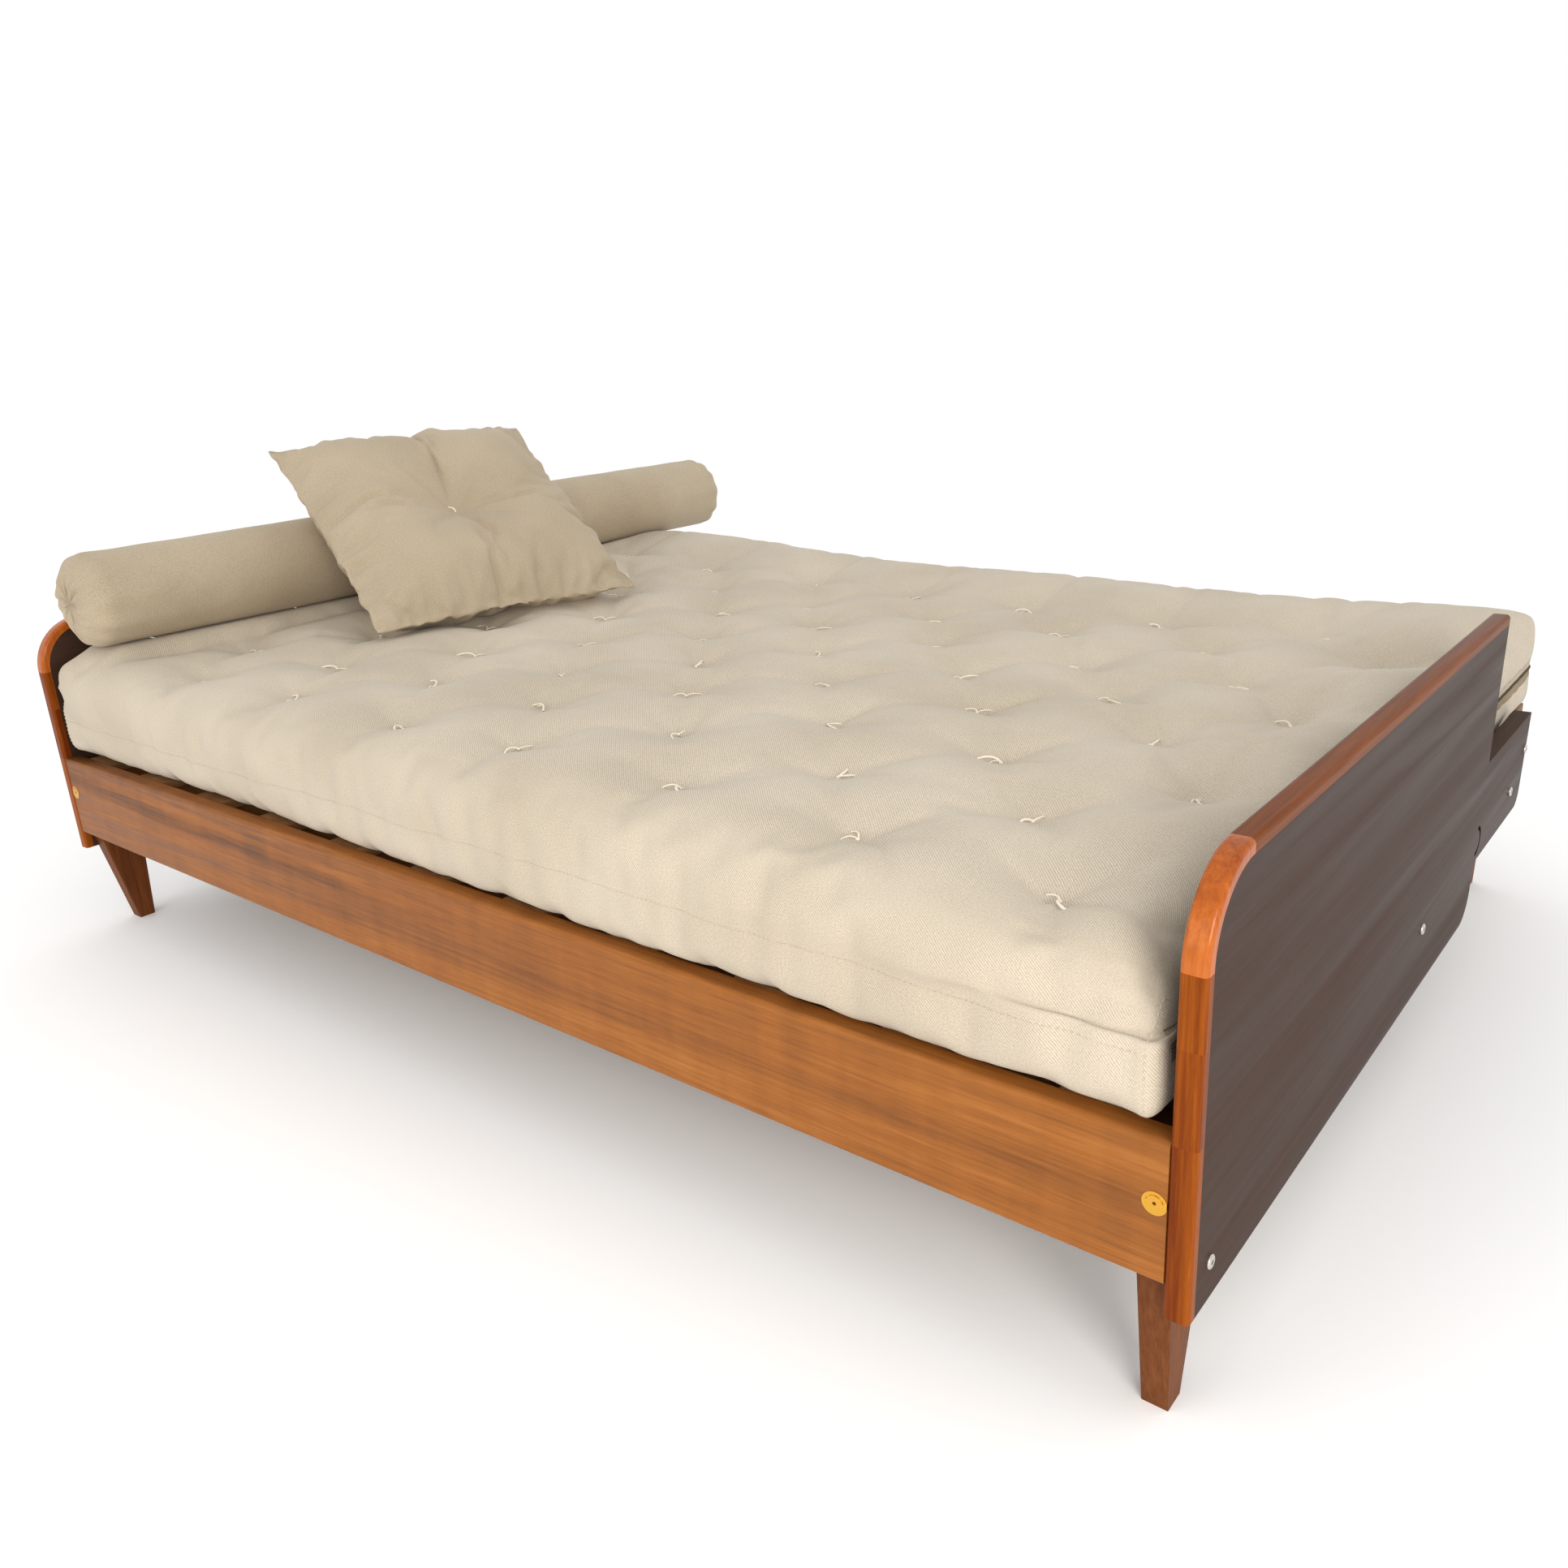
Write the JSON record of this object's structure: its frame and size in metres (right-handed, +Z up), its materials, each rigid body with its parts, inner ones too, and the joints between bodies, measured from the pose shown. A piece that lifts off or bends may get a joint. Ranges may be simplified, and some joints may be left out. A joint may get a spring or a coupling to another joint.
{
  "type": "daybed",
  "caption": "Wooden daybed whose slatted back folds from flat bed to sofa, with lipped end panels, tufted mattress, bolster and pillow.",
  "frame": {"origin": "on the floor under the middle of the whole daybed", "axes": "+X along the front rail towards the foot end, +Y from the front rail towards the back, +Z up"},
  "size_m": [1.95, 1.49, 0.7515],
  "materials": {
    "lipping_wood": "clear lacquer, glossy",
    "panel_board": "dark lacquer, satin",
    "rail_wood": "clear lacquer, semi-gloss",
    "leg_wood": "clear lacquer, satin",
    "slat_wood": "planed, unfinished",
    "frame_wood": "planed, sealed",
    "nickel": "nickel plated",
    "brass": "polished brass",
    "zinc_steel": "zinc plated",
    "mattress_cover": "twill weave",
    "cushion_cover": "twill weave"
  },
  "bodies": {
    "base": {"back_cleat_left": "frame_wood", "back_cleat_right": "frame_wood", "beam_barrel_nuts": "zinc_steel", "end_panel_left": "panel_board", "end_panel_right": "panel_board", "front_ledger": "frame_wood", "front_leg_left": "leg_wood", "front_leg_right": "leg_wood", "front_rail": "rail_wood", "lip_left_corner": "lipping_wood", "lip_left_front_lower": "lipping_wood", "lip_left_front_middle": "lipping_wood", "lip_left_front_upper": "lipping_wood", "lip_left_top": "lipping_wood", "lip_right_corner": "lipping_wood", "lip_right_front_lower": "lipping_wood", "lip_right_front_middle": "lipping_wood", "lip_right_front_upper": "lipping_wood", "lip_right_top": "lipping_wood", "mattress_bend": "mattress_cover", "mattress_seat": "mattress_cover", "panel_bolts": "nickel", "pivot_bushes": "zinc_steel", "pivot_pins": "zinc_steel", "rail_brackets": "zinc_steel", "rail_screw_covers": "brass", "rail_screws": "zinc_steel", "rear_leg_left": "leg_wood", "rear_leg_right": "leg_wood", "seat_beam": "frame_wood", "seat_rear_rail": "frame_wood", "seat_slat_1": "slat_wood", "seat_slat_10": "slat_wood", "seat_slat_11": "slat_wood", "seat_slat_2": "slat_wood", "seat_slat_3": "slat_wood", "seat_slat_4": "slat_wood", "seat_slat_5": "slat_wood", "seat_slat_6": "slat_wood", "seat_slat_7": "slat_wood", "seat_slat_8": "slat_wood", "seat_slat_9": "slat_wood", "seat_slat_screws": "zinc_steel"},
    "back_frame": {"back_rail": "frame_wood", "back_slat_1": "slat_wood", "back_slat_2": "slat_wood", "back_slat_3": "slat_wood", "back_slat_4": "slat_wood", "back_slat_5": "slat_wood", "back_slat_screws": "zinc_steel", "back_stile_left": "frame_wood", "back_stile_right": "frame_wood", "fold_leg_bolts": "zinc_steel", "fold_leg_nuts": "zinc_steel", "mattress_back": "mattress_cover", "stop_pins": "zinc_steel"},
    "fold_leg_left": {"fold_leg_left": "leg_wood"},
    "fold_leg_right": {"fold_leg_right": "leg_wood"},
    "bolster": {"bolster": "cushion_cover"},
    "pillow": {"pillow": "cushion_cover"}
  },
  "joints": [
    {"name": "back_fold", "type": "hinge", "parent": "base", "child": "back_frame", "pos_m": [0, 0.155, 0.238], "axis": [1, 0, 0], "range_deg": [0, 84.5], "deforming": ["mattress_bend"]},
    {"name": "fold_leg_right_swing", "type": "hinge", "parent": "back_frame", "child": "fold_leg_right", "pos_m": [0.883, 0.5775, 0.252], "axis": [0, 1, 0], "range_deg": [0, 90]},
    {"name": "fold_leg_left_swing", "type": "hinge", "parent": "back_frame", "child": "fold_leg_left", "pos_m": [-0.883, 0.5775, 0.252], "axis": [0, -1, 0], "range_deg": [0, 90]},
    {"name": "bolster_lift", "type": "slide", "parent": "base", "child": "bolster", "axis": [0, 0, 1], "range_m": [0, 0.7394]},
    {"name": "pillow_lift", "type": "slide", "parent": "base", "child": "pillow", "axis": [0, 0, 1], "range_m": [0, 0.7394]}
  ],
  "couplings": [
    {"joint": "bolster_lift", "follows": "back_fold", "m_per_rad": 0.5},
    {"joint": "pillow_lift", "follows": "back_fold", "m_per_rad": 0.5}
  ]
}
